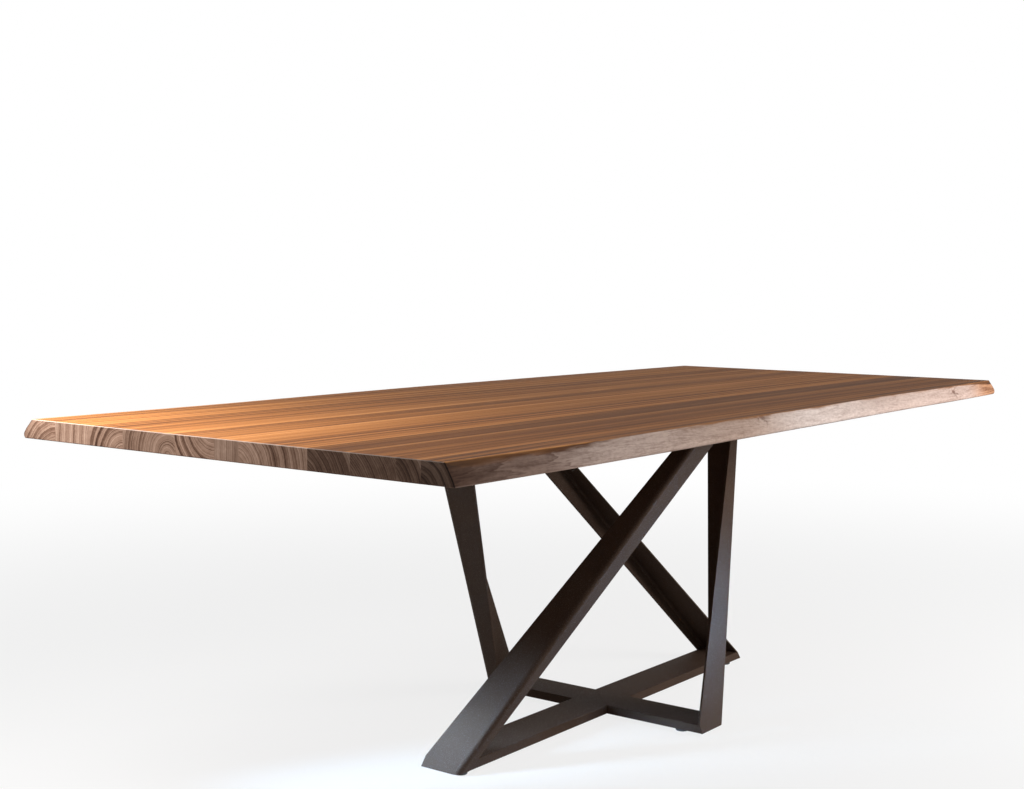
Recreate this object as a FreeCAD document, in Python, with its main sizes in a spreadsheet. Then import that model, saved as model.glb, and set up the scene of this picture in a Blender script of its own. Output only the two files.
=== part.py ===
import FreeCAD, Part
import math
import os
from types import SimpleNamespace

import Sketcher
from FreeCAD import Placement, Rotation, Vector

# Dining table: a live edge walnut top, glued up from eleven boards, on a base of folded steel.
# X runs along the table (left is -X), Y across it (front is -Y) and Z up.
# The origin is on the floor, under the middle of the top. Lengths are in millimetres.

SIZES = {
    # Table top
    "table_height": 750,
    "top_length": 2440,
    "top_thickness": 38,
    "board_arris": 2,
    "front_board_width": 76,
    "board_two_width": 50,
    "board_three_width": 97,
    "board_four_width": 94,
    "board_five_width": 161,
    "board_six_width": 60,
    "board_seven_width": 102,
    "board_eight_width": 141,
    "board_nine_width": 93,
    "board_ten_width": 104,
    "back_board_width": 102,
    # Natural edge: how far it slopes out on its way down, and the round nose at its foot
    "live_edge_run": 24,
    "nose_height": 6,
    "nose_return": 4,
    # Floor cross: four flat bars, mitred in the middle
    "arm_width": 100,
    "arm_height": 20,
    "arm_arris": 2,
    "foot_reach_long": 610,
    "foot_reach_short": 306,
    # Legs: folded plates that taper from one cross to the other
    "plate_thickness": 5,
    "fold_radius": 15,
    "leg_narrow_width": 38,
    # Head cross: four thin bars under the top
    "head_bar_thickness": 8,
    "head_reach_long": 586,
    "head_reach_short": 306,
    # The two welded halves of the base meet at a seam across each cross
    "seam_setback": 0.3,
    "joint_plate_reach": 120,
    "joint_plate_width": 60,
    "floor_joint_thickness": 8,
    "head_joint_thickness": 6,
    "joint_screw_near": 55,
    "joint_screw_far": 95,
    "joint_screw_bite": 7,
    # Machine screws, washers and threaded inserts
    "screw_radius": 4,
    "screw_head_radius": 7,
    "screw_head_height": 4.4,
    "screw_head_slope": 2.2,
    "screw_key_width": 5,
    "screw_key_depth": 2.6,
    "counterbore_depth": 5,
    "fixing_end_inset": 70,
    "fixing_hole_radius": 6,
    "washer_radius": 12,
    "washer_thickness": 2,
    "insert_radius": 6.8,
    "insert_length": 20,
    # Steel bars let into the underside to keep the top flat
    "stiffener_end_inset": 300,
    "stiffener_width": 60,
    "stiffener_thickness": 8,
    "stiffener_recess": 0.5,
    "stiffener_end_gap": 2,
    "stiffener_screw_inset": 53,
    "wood_screw_radius": 2.5,
    "wood_screw_head_radius": 5,
    "wood_screw_head_height": 3,
    "wood_screw_head_slope": 1.5,
    "wood_screw_key_width": 3.5,
    "wood_screw_key_depth": 1.8,
    "wood_screw_bite": 20,
    # Floor glides
    "glide_height": 5,
    "glide_radius": 15,
    "glide_chamfer": 1,
    "glide_stem_radius": 4,
    "glide_stem_length": 12,
    "glide_side_inset": 16,
    "glide_end_inset": 28,
    "glide_stagger": 34,
    # Room round every pin, screw and let-in piece
    "clearance": 0.3,
}

STIFFENER_SCREWS = 5

# How far each natural edge wanders inwards from its straight line, at stations spread evenly
# from the left end to the right end: first along the nose, then along the top edge.
# Three zeros in a row let a nose touch its straight line.
FRONT_NOSE_WANDER = (5, 0, 0, 0, 3, 7, 10, 13, 18, 21, 19, 21, 29)
FRONT_TOP_WANDER = (5, -2, -7, -5, 4, 1, 2, 7, 16, 12, 9, 14, 22)
BACK_NOSE_WANDER = (2, 6, 12, 8, 2, 0, 0, 0, 2, 6, 10, 15, 20)
BACK_TOP_WANDER = (4, 8, 15, 8, -2, -7, -11, -2, 0, 4, 10, 15, 20)

START, END, CENTRE = range(1, 4)
UP = Vector(0, 0, 1)

doc = FreeCAD.newDocument("LiveEdgeTable")
sheet = doc.addObject("Spreadsheet::Sheet", "Sizes")
for row, (name, amount) in enumerate(SIZES.items(), start=1):
    sheet.set(f"A{row}", name.replace("_", " "))
    sheet.set(f"B{row}", str(amount))
    sheet.setAlias(f"B{row}", name)
doc.recompute()


class Dim:
    """A size with its value and the expression that ties it to the sheet."""

    def __init__(self, value, text):
        self.value = value
        self.text = text

    def __add__(self, other):
        other = as_dim(other)
        return Dim(self.value + other.value, f"({self.text} + {other.text})")

    def __sub__(self, other):
        other = as_dim(other)
        return Dim(self.value - other.value, f"({self.text} - {other.text})")

    def __mul__(self, other):
        other = as_dim(other)
        return Dim(self.value * other.value, f"({self.text} * {other.text})")

    def __truediv__(self, other):
        other = as_dim(other)
        return Dim(self.value / other.value, f"({self.text} / {other.text})")

    def __neg__(self):
        return Dim(-self.value, f"(0 - {self.text})")

    __radd__ = __add__
    __rmul__ = __mul__


def as_dim(amount):
    """A Dim as it is, and a plain number as a Dim."""
    return amount if isinstance(amount, Dim) else Dim(float(amount), repr(float(amount)))


def slant(rise, run):
    """Length of a slope."""
    text = f"sqrt({rise.text} * {rise.text} + {run.text} * {run.text})"
    return Dim(math.hypot(rise.value, run.value), text)


S = SimpleNamespace(**{name: Dim(float(sheet.get(name)), f"Sizes.{name}") for name in SIZES})

# Levels and widths that several pieces share
TOP_UNDERSIDE = S.table_height - S.top_thickness
HEAD_LEVEL = TOP_UNDERSIDE - S.head_bar_thickness
ARM_TOP = S.glide_height + S.arm_height
HALF_ARM = S.arm_width / 2
HOLE_RADIUS = S.screw_radius + S.clearance
BOARD_WIDTHS = {
    "board_two": S.board_two_width,
    "board_three": S.board_three_width,
    "board_four": S.board_four_width,
    "board_five": S.board_five_width,
    "board_six": S.board_six_width,
    "board_seven": S.board_seven_width,
    "board_eight": S.board_eight_width,
    "board_nine": S.board_nine_width,
    "board_ten": S.board_ten_width,
}
INNER_WIDTH = sum(BOARD_WIDTHS.values(), as_dim(0))
HALF_WIDTH = (S.front_board_width + INNER_WIDTH + S.back_board_width) / 2
FRONT_SEAM = S.front_board_width - HALF_WIDTH
BACK_SEAM = HALF_WIDTH - S.back_board_width

nodes = []


def bind(thing, prop, amount):
    """Tie a property to the sheet."""
    thing.setExpression(prop, as_dim(amount).text)


def keep(thing, label):
    """Name a finished piece and put it on the list of pieces to write."""
    thing.Label = label
    nodes.append(thing)
    return thing


def turned(x, y, quarter):
    """A place in an arm's own frame, turned by quarter turns about the table's axis."""
    return ((x, y), (-y, x), (-x, -y), (y, -x))[quarter]


def new_body(name, quarter=0):
    body = doc.addObject("PartDesign::Body", name)
    body.Placement = Placement(Vector(), Rotation(UP, 90 * quarter))
    return body


def sketch_on(body, name, role, lift=0):
    """Sketch on one of the body's own planes, lifted off it along its normal."""
    plane = next(item for item in body.Origin.OriginFeatures if item.Role == role)
    sketch = body.newObject("Sketcher::SketchObject", name)
    sketch.AttachmentSupport = [(plane, "")]
    sketch.MapMode = "FlatFace"
    bind(sketch, ".AttachmentOffset.Base.z", lift)
    return sketch


def tie(sketch, kind, amount, *where):
    """Add a sketch dimension that follows the sheet."""
    amount = as_dim(amount)
    index = sketch.addConstraint(Sketcher.Constraint(kind, *where, amount.value))
    sketch.setExpression(f"Constraints[{index}]", amount.text)


def pin(sketch, element, point, place):
    """Fix a point of a sketch element at its place."""
    tie(sketch, "DistanceX", place[0], element, point)
    tie(sketch, "DistanceY", place[1], element, point)


def spot(place):
    return Vector(place[0].value, place[1].value, 0)


def step_towards(corner, neighbour, radius):
    """The point one radius from a corner, on the level or upright side to its neighbour."""
    across = neighbour[0].value - corner[0].value
    up = neighbour[1].value - corner[1].value
    if abs(across) > abs(up):
        return corner[0] + math.copysign(1, across) * radius, corner[1]
    return corner[0], corner[1] + math.copysign(1, up) * radius


def round_corner(sketch, line_in, line_out, ends, corner):
    """Join two square sides with an arc."""
    enter, leave = spot(ends[0]), spot(ends[1])
    centre = enter + leave - spot(corner)
    turns_left = (spot(corner) - enter).cross(leave - spot(corner)).z > 0
    first, last = (enter, leave) if turns_left else (leave, enter)
    angles = [math.atan2(end.y - centre.y, end.x - centre.x) for end in (first, last)]
    if angles[1] < angles[0]:
        angles[1] += 2 * math.pi
    ring = Part.Circle(centre, UP, corner[2].value)
    arc = sketch.addGeometry(Part.ArcOfCircle(ring, *angles), False)
    enter_end, leave_end = (START, END) if turns_left else (END, START)
    sketch.addConstraint(Sketcher.Constraint("Coincident", line_in, END, arc, enter_end))
    sketch.addConstraint(Sketcher.Constraint("Coincident", line_out, START, arc, leave_end))
    tie(sketch, "Radius", corner[2], arc)


def outline(sketch, corners):
    """Closed outline through corners (x, y) or, where a square corner is rounded, (x, y, radius)."""
    corners = [tuple(as_dim(part) for part in corner) for corner in corners]
    count = len(corners)
    ends = []
    for index, corner in enumerate(corners):
        if len(corner) == 2:
            ends.append((corner, corner))
        else:
            before, after = corners[index - 1], corners[(index + 1) % count]
            ends.append((step_towards(corner, before, corner[2]), step_towards(corner, after, corner[2])))
    lines = []
    for index in range(count):
        side = Part.LineSegment(spot(ends[index][1]), spot(ends[(index + 1) % count][0]))
        lines.append(sketch.addGeometry(side, False))
    for index, corner in enumerate(corners):
        line_in, line_out = lines[index - 1], lines[index]
        pin(sketch, line_out, START, ends[index][1])
        if len(corner) == 2:
            sketch.addConstraint(Sketcher.Constraint("Coincident", line_in, END, line_out, START))
        else:
            pin(sketch, line_in, END, ends[index][0])
            round_corner(sketch, line_in, line_out, ends[index], corner)


def rectangle(sketch, left, right, bottom, top, radius=None):
    """Upright rectangle, with its corners rounded where a radius is given."""
    corners = [(left, bottom), (right, bottom), (right, top), (left, top)]
    if radius is not None:
        corners = [corner + (radius,) for corner in corners]
    outline(sketch, corners)


def circles(sketch, places, radius):
    for x, y in places:
        x, y = as_dim(x), as_dim(y)
        ring = sketch.addGeometry(Part.Circle(spot((x, y)), UP, radius.value), False)
        pin(sketch, ring, CENTRE, (x, y))
        tie(sketch, "Radius", radius, ring)


def pad(body, sketch, length, reverse=False):
    feature = body.newObject("PartDesign::Pad", "Pad")
    feature.Profile = sketch
    bind(feature, "Length", length)
    feature.Reversed = reverse
    return feature


def cut_through(body, sketch):
    """Cut a sketch right through a body, to both sides."""
    feature = body.newObject("PartDesign::Pocket", "CutThrough")
    feature.Profile = sketch
    feature.Type = "ThroughAll"
    feature.Midplane = True


def cut_upwards(body, sketch, depth):
    """Cut a level sketch into a body from below."""
    feature = body.newObject("PartDesign::Pocket", "CutUpwards")
    feature.Profile = sketch
    feature.Reversed = True
    bind(feature, "Length", depth)


def boolean(kind, base, tool):
    result = doc.addObject(kind, "Fitted")
    result.Base = base
    result.Tool = tool
    return result


# Table top: boards, live edges and what is let into the underside


def board(width, start):
    """A plain board, its end arrises eased, from its front edge at start."""
    body = new_body("Board")
    half = S.top_length / 2
    side = sketch_on(body, "side", "XZ_Plane")
    rectangle(side, -half, half, 0, S.top_thickness, S.board_arris)
    pad(body, side, width, reverse=True)
    bind(body, ".Placement.Base.y", start)
    bind(body, ".Placement.Base.z", TOP_UNDERSIDE)
    return body


def end_knots(poles, degree):
    """Knot counts of a curve that starts at its first pole and stops at its last."""
    return [degree + 1] + [1] * (poles - degree - 1) + [degree + 1]


def live_edge_board(label, width, seam, direction, nose_wander, top_wander):
    """A board as far as its natural edge. The blank it is cut from reaches past the nose."""
    blank_width = width + S.nose_height
    blank = board(blank_width, seam if direction > 0 else seam - blank_width)
    edge = live_edge(direction, nose_wander, top_wander)
    keep(boolean("Part::Common", blank, edge), label)


def live_edge(direction, nose_wander, top_wander):
    """Solid under the natural edge: an uneven face drawn over a net of poles, run inwards.

    direction is -1 on the front edge and 1 on the back edge."""
    thickness = S.top_thickness.value
    nose = S.nose_height.value
    slope_start = 2 * nose
    # Poles of the profile, from below the underside to above the top: height, and inset at the
    # nose. The face touches the nose halfway between the two poles that have no inset, and
    # crosses the underside at a quarter of the lowest pole's inset.
    profile = (
        (-nose, 4 * S.nose_return.value),
        (0, 0),
        (slope_start, 0),
        ((slope_start + thickness) / 2, 0),
        (thickness + nose, 0),
    )
    last = len(nose_wander) - 1
    net = []
    for station, (low, high) in enumerate(zip(nose_wander, top_wander)):
        x = (station / last - 0.5) * (S.top_length.value + 2 * S.nose_height.value)
        row = []
        for height, nose_inset in profile:
            share = max(0, height - slope_start) / (thickness - slope_start)
            inset = nose_inset + low + (S.live_edge_run.value + high - low) * share
            y = direction * (HALF_WIDTH.value - inset)
            row.append(Vector(x, y, TOP_UNDERSIDE.value + height))
        net.append(row)
    along, across = 3, 2
    surface = Part.BSplineSurface()
    surface.buildFromPolesMultsKnots(
        net,
        end_knots(len(net), along),
        end_knots(len(profile), across),
        udegree=along,
        vdegree=across,
    )
    feature = doc.addObject("Part::Feature", "NaturalEdge")
    feature.Shape = surface.toShape().extrude(Vector(0, -direction * HALF_WIDTH.value, 0))
    feature.Placement = Placement()
    return feature


def drill(x, y, level, radius, depth):
    """Cylinder for a hole that goes up into the wood from a level."""
    hole = doc.addObject("Part::Cylinder", "Drill")
    bind(hole, "Radius", radius)
    bind(hole, "Height", depth)
    bind(hole, ".Placement.Base.x", x)
    bind(hole, ".Placement.Base.y", y)
    bind(hole, ".Placement.Base.z", level)
    return hole


def own_reach(quarter):
    """How far the floor arm and the head bar of one side reach."""
    if quarter % 2:
        return S.foot_reach_short, S.head_reach_short
    return S.foot_reach_long, S.head_reach_long


def fixing_distances(quarter):
    """How far out the two fixings of a head bar are: near its end, and halfway back to the joint."""
    far = own_reach(quarter)[1] - S.fixing_end_inset
    return (S.joint_plate_reach + far) / 2, far


FIXINGS = [
    turned(distance, as_dim(0), quarter)
    for quarter in range(4)
    for distance in fixing_distances(quarter)
]
STIFFENER_OFFSET = S.top_length / 2 - S.stiffener_end_inset
STIFFENER_PLACES = {"left": -STIFFENER_OFFSET, "right": STIFFENER_OFFSET}
GROOVE_TOP = TOP_UNDERSIDE + S.stiffener_recess + S.stiffener_thickness
STIFFENER_FRONT = FRONT_SEAM + S.stiffener_end_gap
STIFFENER_BACK = BACK_SEAM - S.stiffener_end_gap
SCREW_SPAN = STIFFENER_BACK - STIFFENER_FRONT - 2 * S.stiffener_screw_inset
STIFFENER_SCREW_PLACES = [
    STIFFENER_FRONT + S.stiffener_screw_inset + SCREW_SPAN * (index / (STIFFENER_SCREWS - 1))
    for index in range(STIFFENER_SCREWS)
]


def underside_cuts():
    """Everything that is cut into the underside: grooves, insert holes and screw holes."""
    tools = []
    insert_hole = S.insert_radius + S.clearance
    for x, y in FIXINGS:
        tools.append(drill(x, y, TOP_UNDERSIDE, insert_hole, S.insert_length + S.clearance))
    for x in STIFFENER_PLACES.values():
        groove = doc.addObject("Part::Box", "Groove")
        bind(groove, "Length", S.stiffener_width + 2 * S.clearance)
        bind(groove, "Width", INNER_WIDTH)
        bind(groove, "Height", S.stiffener_recess + S.stiffener_thickness)
        bind(groove, ".Placement.Base.x", x - S.stiffener_width / 2 - S.clearance)
        bind(groove, ".Placement.Base.y", FRONT_SEAM)
        bind(groove, ".Placement.Base.z", TOP_UNDERSIDE)
        tools.append(groove)
        for y in STIFFENER_SCREW_PLACES:
            pilot = S.wood_screw_radius + S.clearance
            tools.append(drill(x, y, GROOVE_TOP, pilot, S.wood_screw_bite + S.clearance))
    fused = doc.addObject("Part::MultiFuse", "UndersideCuts")
    fused.Shapes = tools
    return fused


def table_top():
    cuts = underside_cuts()
    front_wander = (FRONT_NOSE_WANDER, FRONT_TOP_WANDER)
    live_edge_board("front_live_edge_board", S.front_board_width, FRONT_SEAM, -1, *front_wander)
    start = FRONT_SEAM
    for name, width in BOARD_WIDTHS.items():
        keep(boolean("Part::Cut", board(width, start), cuts), name)
        start = start + width
    back_wander = (BACK_NOSE_WANDER, BACK_TOP_WANDER)
    live_edge_board("back_live_edge_board", S.back_board_width, BACK_SEAM, 1, *back_wander)


def stiffener(side, x):
    """Flat bar in its groove, drilled for its screws."""
    body = new_body("Stiffener")
    plan = sketch_on(body, "plan", "XY_Plane", TOP_UNDERSIDE + S.stiffener_recess)
    half = S.stiffener_width / 2
    rectangle(plan, x - half, x + half, STIFFENER_FRONT, STIFFENER_BACK)
    pad(body, plan, S.stiffener_thickness)
    holes = sketch_on(body, "holes", "XY_Plane", TOP_UNDERSIDE)
    circles(holes, [(x, y) for y in STIFFENER_SCREW_PLACES], S.wood_screw_radius + S.clearance)
    cut_through(body, holes)
    keep(body, f"stiffener_{side}")


# Base: legs, floor cross and head cross. Each arm is drawn along -X and turned into place.


def leg_plate(foot, head, quarter, outward=0):
    """Folded plate from the end of a floor arm up to the end of the next head bar.

    In its own frame it stands on the -X arm and rises to the -Y bar. It is a level section of
    two square flanges, run along the fold and then tapered. A plate grown outward from the same
    inner faces serves to trim the floor arm that the leg stands on."""
    body = new_body("LegPlate", quarter)
    rise = HEAD_LEVEL - S.glide_height
    run_x = foot - HALF_ARM
    run_y = head - HALF_ARM
    wall_x = S.plate_thickness * slant(rise, run_x) / rise
    wall_y = S.plate_thickness * slant(rise, run_y) / rise
    spare = S.arm_height * 2
    tip_x = S.arm_width + spare - foot
    tip_y = HALF_ARM + spare
    section = sketch_on(body, "section", "XY_Plane", S.glide_height)
    outline(
        section,
        [
            (-foot - outward, -HALF_ARM - outward, S.fold_radius),
            (tip_x, -HALF_ARM - outward),
            (tip_x, wall_y - HALF_ARM),
            (wall_x - foot, wall_y - HALF_ARM, S.fold_radius - S.plate_thickness),
            (wall_x - foot, tip_y),
            (-foot - outward, tip_y),
        ],
    )
    fold = pad(body, section, rise)
    fold.UseCustomVector = True
    fold.AlongSketchNormal = True
    bind(fold, ".Direction.x", run_x)
    bind(fold, ".Direction.y", -run_y)
    bind(fold, ".Direction.z", rise)
    # The first flange is as wide as the arm up to the arm's top, and then narrows to the head
    foot_flange = sketch_on(body, "foot_flange", "YZ_Plane")
    outline(
        foot_flange,
        [
            (HALF_ARM, S.glide_height - spare),
            (HALF_ARM, ARM_TOP),
            (S.leg_narrow_width - head, HEAD_LEVEL),
            (S.leg_narrow_width - head, HEAD_LEVEL + spare),
            (HALF_ARM + 2 * spare, HEAD_LEVEL + spare),
            (HALF_ARM + 2 * spare, S.glide_height - spare),
        ],
    )
    cut_through(body, foot_flange)
    # The second flange widens from the foot up to the full width of the head bar
    head_flange = sketch_on(body, "head_flange", "XZ_Plane")
    outline(
        head_flange,
        [
            (S.leg_narrow_width - foot, S.glide_height - spare),
            (S.leg_narrow_width - foot, S.glide_height),
            (HALF_ARM, HEAD_LEVEL),
            (HALF_ARM, HEAD_LEVEL + spare),
            (HALF_ARM + 2 * spare, HEAD_LEVEL + spare),
            (HALF_ARM + 2 * spare, S.glide_height - spare),
        ],
    )
    cut_through(body, head_flange)
    return body


def mitre(body, seam_side):
    """Point the inner end of an arm, set back a little on the side where the two halves meet."""
    spare = S.arm_height
    reach = HALF_ARM + spare
    plan = sketch_on(body, "mitre", "XY_Plane")
    outline(
        plan,
        [
            (spare, reach * seam_side),
            (spare, reach * -seam_side),
            (-reach, reach * -seam_side),
            (0, 0),
            (-S.seam_setback, 0),
            (-reach - S.seam_setback, reach * seam_side),
        ],
    )
    cut_through(body, plan)


JOINT_SCREWS = (S.joint_screw_near, S.joint_screw_far)


def glide_places(foot):
    """The two glides under a foot, in the arm's own frame: one under the fold, one further in."""
    side = HALF_ARM - S.glide_side_inset
    return ((S.glide_end_inset - foot, -side), (S.glide_end_inset + S.glide_stagger - foot, side))


def floor_arm(side, foot, head, quarter):
    """Flat bar of the floor cross, let into its leg and drilled from below."""
    body = new_body("FloorBar", quarter)
    section = sketch_on(body, "section", "YZ_Plane")
    rectangle(section, -HALF_ARM, HALF_ARM, S.glide_height, ARM_TOP, S.arm_arris)
    pad(body, section, foot, reverse=True)
    mitre(body, 1 if quarter % 2 else -1)
    recess = sketch_on(body, "recess", "XY_Plane", S.glide_height)
    half_plate = S.joint_plate_width / 2 + S.clearance
    rectangle(recess, -S.joint_plate_reach - S.clearance, S.arm_height, -half_plate, half_plate)
    cut_upwards(body, recess, S.floor_joint_thickness)
    threads = sketch_on(body, "threads", "XY_Plane", S.glide_height + S.floor_joint_thickness)
    circles(threads, [(-distance, 0) for distance in JOINT_SCREWS], HOLE_RADIUS)
    cut_upwards(body, threads, S.joint_screw_bite + S.clearance)
    sockets = sketch_on(body, "sockets", "XY_Plane", S.glide_height)
    circles(sockets, glide_places(foot), S.glide_stem_radius + S.clearance)
    cut_upwards(body, sockets, S.glide_stem_length + S.clearance)
    trim = leg_plate(foot, head, quarter, outward=S.arm_height)
    keep(boolean("Part::Cut", body, trim), f"floor_arm_{side}")


def head_bar(side, head, quarter):
    """Thin bar under the top, drilled for the top's screws and for the joint."""
    body = new_body("HeadBar", quarter)
    plan = sketch_on(body, "plan", "XY_Plane", HEAD_LEVEL)
    rectangle(plan, -head, 0, -HALF_ARM, HALF_ARM)
    pad(body, plan, S.head_bar_thickness)
    mitre(body, -1 if quarter % 2 else 1)
    threads = sketch_on(body, "threads", "XY_Plane", HEAD_LEVEL)
    circles(threads, [(-distance, 0) for distance in JOINT_SCREWS], HOLE_RADIUS)
    cut_upwards(body, threads, S.joint_screw_bite + S.clearance)
    fixings = sketch_on(body, "fixings", "XY_Plane", HEAD_LEVEL)
    circles(fixings, [(-distance, 0) for distance in fixing_distances(quarter)], S.fixing_hole_radius)
    cut_through(body, fixings)
    keep(body, f"head_bar_{side}")


JOINT_PLACES = [turned(distance, as_dim(0), quarter) for quarter in range(4) for distance in JOINT_SCREWS]


def joint_plate(label, level, thickness, counterbore=None):
    """Cross-shaped plate that ties the two halves of the base together."""
    body = new_body("JointPlate")
    reach, half = S.joint_plate_reach, S.joint_plate_width / 2
    plan = sketch_on(body, "plan", "XY_Plane", level)
    corners = []
    for quarter in range(4):
        for x, y in ((half, -half), (reach, -half), (reach, half)):
            corners.append(turned(x, y, quarter))
    outline(plan, corners)
    pad(body, plan, thickness)
    holes = sketch_on(body, "holes", "XY_Plane", level)
    circles(holes, JOINT_PLACES, HOLE_RADIUS)
    cut_through(body, holes)
    if counterbore is not None:
        recesses = sketch_on(body, "recesses", "XY_Plane", level)
        circles(recesses, JOINT_PLACES, S.screw_head_radius + S.clearance)
        cut_upwards(body, recesses, counterbore)
    keep(body, label)


def glide(label, place, quarter):
    """Round foot with a stem pressed up into the arm."""
    body = new_body("Glide")
    profile = sketch_on(body, "profile", "XZ_Plane")
    outline(
        profile,
        [
            (0, 0),
            (S.glide_radius - S.glide_chamfer, 0),
            (S.glide_radius, S.glide_chamfer),
            (S.glide_radius, S.glide_height),
            (S.glide_stem_radius, S.glide_height),
            (S.glide_stem_radius, S.glide_height + S.glide_stem_length),
            (0, S.glide_height + S.glide_stem_length),
        ],
    )
    spin = body.newObject("PartDesign::Revolution", "Spin")
    spin.Profile = profile
    spin.ReferenceAxis = (profile, ["V_Axis"])
    spin.Angle = 360
    x, y = turned(*place, quarter)
    bind(body, ".Placement.Base.x", x)
    bind(body, ".Placement.Base.y", y)
    keep(body, label)


def key_socket(width, depth, head_height):
    """Six-sided hole for the key, let up into the face of a screw's head."""
    corner = width.value / math.sqrt(3)
    corners = []
    for side in range(6):
        turn = math.radians(60 * side)
        corners.append(Vector(corner * math.cos(turn), corner * math.sin(turn), -head_height.value))
    face = Part.Face(Part.makePolygon(corners + corners[:1]))
    return face.extrude(UP * depth.value)


def fasteners(label, profile, places, socket=None):
    """A group of equal turned pieces: a profile of (radius, height), spun and set at each place."""
    corners = [Vector(radius.value, 0, height.value) for radius, height in profile]
    face = Part.Face(Part.makePolygon(corners + corners[:1]))
    piece = face.revolve(Vector(), UP, 360)
    if socket is not None:
        piece = piece.cut(socket)
    copies = []
    for x, y, z in places:
        copy = piece.copy()
        copy.translate(Vector(x.value, y.value, z.value))
        copies.append(copy)
    group = doc.addObject("Part::Feature", "Fasteners")
    group.Shape = Part.makeCompound(copies)
    group.Placement = Placement()
    keep(group, label)


def screw_profile(head_radius, head_height, head_slope, radius, length):
    """Half section of a screw that points up, with the seat of its bevelled head at height 0."""
    none = as_dim(0)
    return [
        (none, -head_height),
        (head_radius - head_slope, -head_height),
        (head_radius, head_slope - head_height),
        (head_radius, none),
        (radius, none),
        (radius, length),
        (none, length),
    ]


def sleeve_profile(bore, radius, length):
    """Half section of a washer or an insert."""
    none = as_dim(0)
    return [(bore, none), (radius, none), (radius, length), (bore, length)]


def all_fasteners():
    head = (S.screw_head_radius, S.screw_head_height, S.screw_head_slope, S.screw_radius)
    socket = key_socket(S.screw_key_width, S.screw_key_depth, S.screw_head_height)
    floor_seat = S.glide_height + S.counterbore_depth
    floor_length = S.floor_joint_thickness - S.counterbore_depth + S.joint_screw_bite
    places = [(x, y, floor_seat) for x, y in JOINT_PLACES]
    fasteners("floor_joint_screws", screw_profile(*head, floor_length), places, socket)
    head_seat = HEAD_LEVEL - S.head_joint_thickness
    places = [(x, y, head_seat) for x, y in JOINT_PLACES]
    head_length = S.head_joint_thickness + S.joint_screw_bite
    fasteners("head_joint_screws", screw_profile(*head, head_length), places, socket)
    washer_seat = HEAD_LEVEL - S.washer_thickness
    places = [(x, y, washer_seat) for x, y in FIXINGS]
    fixing_length = S.washer_thickness + S.head_bar_thickness + S.insert_length
    fasteners("top_fixing_screws", screw_profile(*head, fixing_length), places, socket)
    fasteners("top_fixing_washers", sleeve_profile(HOLE_RADIUS, S.washer_radius, S.washer_thickness), places)
    places = [(x, y, TOP_UNDERSIDE) for x, y in FIXINGS]
    fasteners("threaded_inserts", sleeve_profile(HOLE_RADIUS, S.insert_radius, S.insert_length), places)
    wood_seat = TOP_UNDERSIDE + S.stiffener_recess
    places = [(x, y, wood_seat) for x in STIFFENER_PLACES.values() for y in STIFFENER_SCREW_PLACES]
    wood_length = S.stiffener_thickness + S.wood_screw_bite
    wood_head = (S.wood_screw_head_radius, S.wood_screw_head_height, S.wood_screw_head_slope)
    wood_profile = screw_profile(*wood_head, S.wood_screw_radius, wood_length)
    wood_socket = key_socket(S.wood_screw_key_width, S.wood_screw_key_depth, S.wood_screw_head_height)
    fasteners("stiffener_screws", wood_profile, places, wood_socket)


def base():
    """Four feet, each with its floor arm, its leg, its glides and the head bar on the same side."""
    for quarter, side in enumerate(("left", "front", "right", "back")):
        foot, own_head = own_reach(quarter)
        next_head = own_reach(quarter + 1)[1]
        floor_arm(side, foot, next_head, quarter)
        keep(leg_plate(foot, next_head, quarter), f"leg_{side}")
        head_bar(side, own_head, quarter)
        for number, place in enumerate(glide_places(foot), start=1):
            glide(f"glide_{side}_{number}", place, quarter)
    joint_plate("floor_joint_plate", S.glide_height, S.floor_joint_thickness, S.counterbore_depth)
    joint_plate("head_joint_plate", HEAD_LEVEL - S.head_joint_thickness, S.head_joint_thickness)


def check_document():
    """Stop if a feature failed, a cut removed nothing or a piece is not a sound solid."""
    for thing in doc.Objects:
        if "Invalid" in thing.State or "Error" in thing.State:
            raise RuntimeError(f"{thing.Label} failed: {thing.State}")
        if thing.TypeId == "PartDesign::Pocket":
            if thing.Shape.Volume >= thing.BaseFeature.Shape.Volume:
                raise RuntimeError(f"{thing.Label} of {thing.getParent().Label} cuts nothing")
    for piece in nodes:
        if piece.Shape.isNull() or not piece.Shape.isValid() or not piece.Shape.Solids:
            raise RuntimeError(f"{piece.Label} is not a sound solid")


def write_pieces():
    os.makedirs("parts", exist_ok=True)
    for piece in nodes:
        piece.Shape.exportStep(f"parts/{piece.Label}.step")
        box = piece.Shape.BoundBox
        spans = f"{box.XLength:.1f} x {box.YLength:.1f} x {box.ZLength:.1f}"
        print(f"{piece.Label}: {len(piece.Shape.Solids)} solid(s), {spans} mm")


table_top()
for stiffener_side, stiffener_x in STIFFENER_PLACES.items():
    stiffener(stiffener_side, stiffener_x)
base()
all_fasteners()
doc.recompute()
check_document()
write_pieces()
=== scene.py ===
import math

import bmesh
import bpy
from mathutils import Matrix, Vector, noise
from mathutils.bvhtree import BVHTree


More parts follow.
